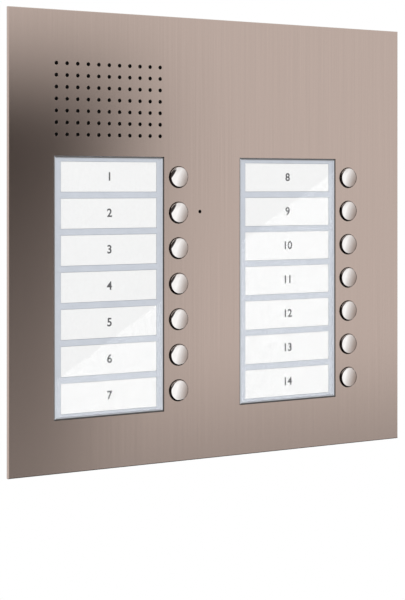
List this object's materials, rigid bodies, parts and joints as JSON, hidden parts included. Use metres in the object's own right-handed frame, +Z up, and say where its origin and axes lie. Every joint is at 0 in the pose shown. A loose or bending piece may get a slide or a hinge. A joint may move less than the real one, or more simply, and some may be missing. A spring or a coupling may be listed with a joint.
{
  "type": "door intercom panel",
  "caption": "Flat brushed metal door intercom panel with two name-label windows, columns of round push buttons, a perforated speaker field and a microphone hole, for mounting from behind.",
  "frame": {"origin": "on the wall's face, which the seal's rear touches, at the centre of the four wall studs", "axes": "+X to the right seen from the front, +Y into the wall, away from the viewer, +Z up"},
  "size_m": [0.26, 0.028, 0.25],
  "materials": {
    "brushed_plate": "vertically brushed, warm tint",
    "polished_button": "turned and polished",
    "clear_pane": "clear acrylic, gloss",
    "tray_plastic": "blue-grey, slightly translucent",
    "white_card": "white card",
    "black_plastic": "moulded, fine texture",
    "chip_plastic": "moulded epoxy",
    "pale_plastic": "natural nylon",
    "grey_plastic": "moulded",
    "black_rubber": "matt",
    "zinc_steel": "zinc plated",
    "bright_steel": "stamped spring steel",
    "spring_wire": "drawn wire",
    "circuit_board": "green solder mask",
    "lamp_body": "moulded white body",
    "can_sleeve": "shrunk sleeve",
    "black_gauze": "fine woven gauze",
    "cone_paper": "pressed paper",
    "magnet_steel": "dark plated",
    "capsule_metal": "plain can"
  },
  "bodies": {
    "panel": {"front_plate": "brushed_plate", "wall_studs": "zinc_steel", "module_studs": "zinc_steel", "module_nuts": "zinc_steel", "wall_seal": "black_rubber", "window_seals": "black_rubber", "window_pane_left": "clear_pane", "window_pane_right": "clear_pane", "label_tray_left": "tray_plastic", "label_tray_right": "tray_plastic", "name_cards": "white_card", "button_carrier_left": "black_plastic", "button_carrier_right": "black_plastic", "button_seals": "black_rubber", "key_board_left": "circuit_board", "key_board_right": "circuit_board", "contact_domes": "bright_steel", "label_lamps": "lamp_body", "board_bridges": "black_plastic", "main_board": "circuit_board", "board_spacers": "pale_plastic", "terminal_block": "grey_plastic", "terminal_screws": "zinc_steel", "signal_chips": "chip_plastic", "capacitors": "can_sleeve", "speaker_gauze": "black_gauze", "speaker_gasket": "black_rubber", "speaker_basket": "zinc_steel", "speaker_cone": "cone_paper", "speaker_magnet": "magnet_steel", "microphone_boot": "black_rubber", "microphone_capsule": "capsule_metal", "return_spring_01": "spring_wire", "return_spring_02": "spring_wire", "return_spring_03": "spring_wire", "return_spring_04": "spring_wire", "return_spring_05": "spring_wire", "return_spring_06": "spring_wire", "return_spring_07": "spring_wire", "return_spring_08": "spring_wire", "return_spring_09": "spring_wire", "return_spring_10": "spring_wire", "return_spring_11": "spring_wire", "return_spring_12": "spring_wire", "return_spring_13": "spring_wire", "return_spring_14": "spring_wire"},
    "button_01": {"button_cap_01": "polished_button"},
    "button_02": {"button_cap_02": "polished_button"},
    "button_03": {"button_cap_03": "polished_button"},
    "button_04": {"button_cap_04": "polished_button"},
    "button_05": {"button_cap_05": "polished_button"},
    "button_06": {"button_cap_06": "polished_button"},
    "button_07": {"button_cap_07": "polished_button"},
    "button_08": {"button_cap_08": "polished_button"},
    "button_09": {"button_cap_09": "polished_button"},
    "button_10": {"button_cap_10": "polished_button"},
    "button_11": {"button_cap_11": "polished_button"},
    "button_12": {"button_cap_12": "polished_button"},
    "button_13": {"button_cap_13": "polished_button"},
    "button_14": {"button_cap_14": "polished_button"}
  },
  "joints": [
    {"name": "button_01_press", "type": "slide", "parent": "panel", "child": "button_01", "axis": [0, 1, 0], "range_m": [0, 0.0012], "stiffness_N_per_m": 700, "springref_m": -0.0018, "deforming": ["return_spring_01"]},
    {"name": "button_02_press", "type": "slide", "parent": "panel", "child": "button_02", "axis": [0, 1, 0], "range_m": [0, 0.0012], "stiffness_N_per_m": 700, "springref_m": -0.0018, "deforming": ["return_spring_02"]},
    {"name": "button_03_press", "type": "slide", "parent": "panel", "child": "button_03", "axis": [0, 1, 0], "range_m": [0, 0.0012], "stiffness_N_per_m": 700, "springref_m": -0.0018, "deforming": ["return_spring_03"]},
    {"name": "button_04_press", "type": "slide", "parent": "panel", "child": "button_04", "axis": [0, 1, 0], "range_m": [0, 0.0012], "stiffness_N_per_m": 700, "springref_m": -0.0018, "deforming": ["return_spring_04"]},
    {"name": "button_05_press", "type": "slide", "parent": "panel", "child": "button_05", "axis": [0, 1, 0], "range_m": [0, 0.0012], "stiffness_N_per_m": 700, "springref_m": -0.0018, "deforming": ["return_spring_05"]},
    {"name": "button_06_press", "type": "slide", "parent": "panel", "child": "button_06", "axis": [0, 1, 0], "range_m": [0, 0.0012], "stiffness_N_per_m": 700, "springref_m": -0.0018, "deforming": ["return_spring_06"]},
    {"name": "button_07_press", "type": "slide", "parent": "panel", "child": "button_07", "axis": [0, 1, 0], "range_m": [0, 0.0012], "stiffness_N_per_m": 700, "springref_m": -0.0018, "deforming": ["return_spring_07"]},
    {"name": "button_08_press", "type": "slide", "parent": "panel", "child": "button_08", "axis": [0, 1, 0], "range_m": [0, 0.0012], "stiffness_N_per_m": 700, "springref_m": -0.0018, "deforming": ["return_spring_08"]},
    {"name": "button_09_press", "type": "slide", "parent": "panel", "child": "button_09", "axis": [0, 1, 0], "range_m": [0, 0.0012], "stiffness_N_per_m": 700, "springref_m": -0.0018, "deforming": ["return_spring_09"]},
    {"name": "button_10_press", "type": "slide", "parent": "panel", "child": "button_10", "axis": [0, 1, 0], "range_m": [0, 0.0012], "stiffness_N_per_m": 700, "springref_m": -0.0018, "deforming": ["return_spring_10"]},
    {"name": "button_11_press", "type": "slide", "parent": "panel", "child": "button_11", "axis": [0, 1, 0], "range_m": [0, 0.0012], "stiffness_N_per_m": 700, "springref_m": -0.0018, "deforming": ["return_spring_11"]},
    {"name": "button_12_press", "type": "slide", "parent": "panel", "child": "button_12", "axis": [0, 1, 0], "range_m": [0, 0.0012], "stiffness_N_per_m": 700, "springref_m": -0.0018, "deforming": ["return_spring_12"]},
    {"name": "button_13_press", "type": "slide", "parent": "panel", "child": "button_13", "axis": [0, 1, 0], "range_m": [0, 0.0012], "stiffness_N_per_m": 700, "springref_m": -0.0018, "deforming": ["return_spring_13"]},
    {"name": "button_14_press", "type": "slide", "parent": "panel", "child": "button_14", "axis": [0, 1, 0], "range_m": [0, 0.0012], "stiffness_N_per_m": 700, "springref_m": -0.0018, "deforming": ["return_spring_14"]}
  ]
}
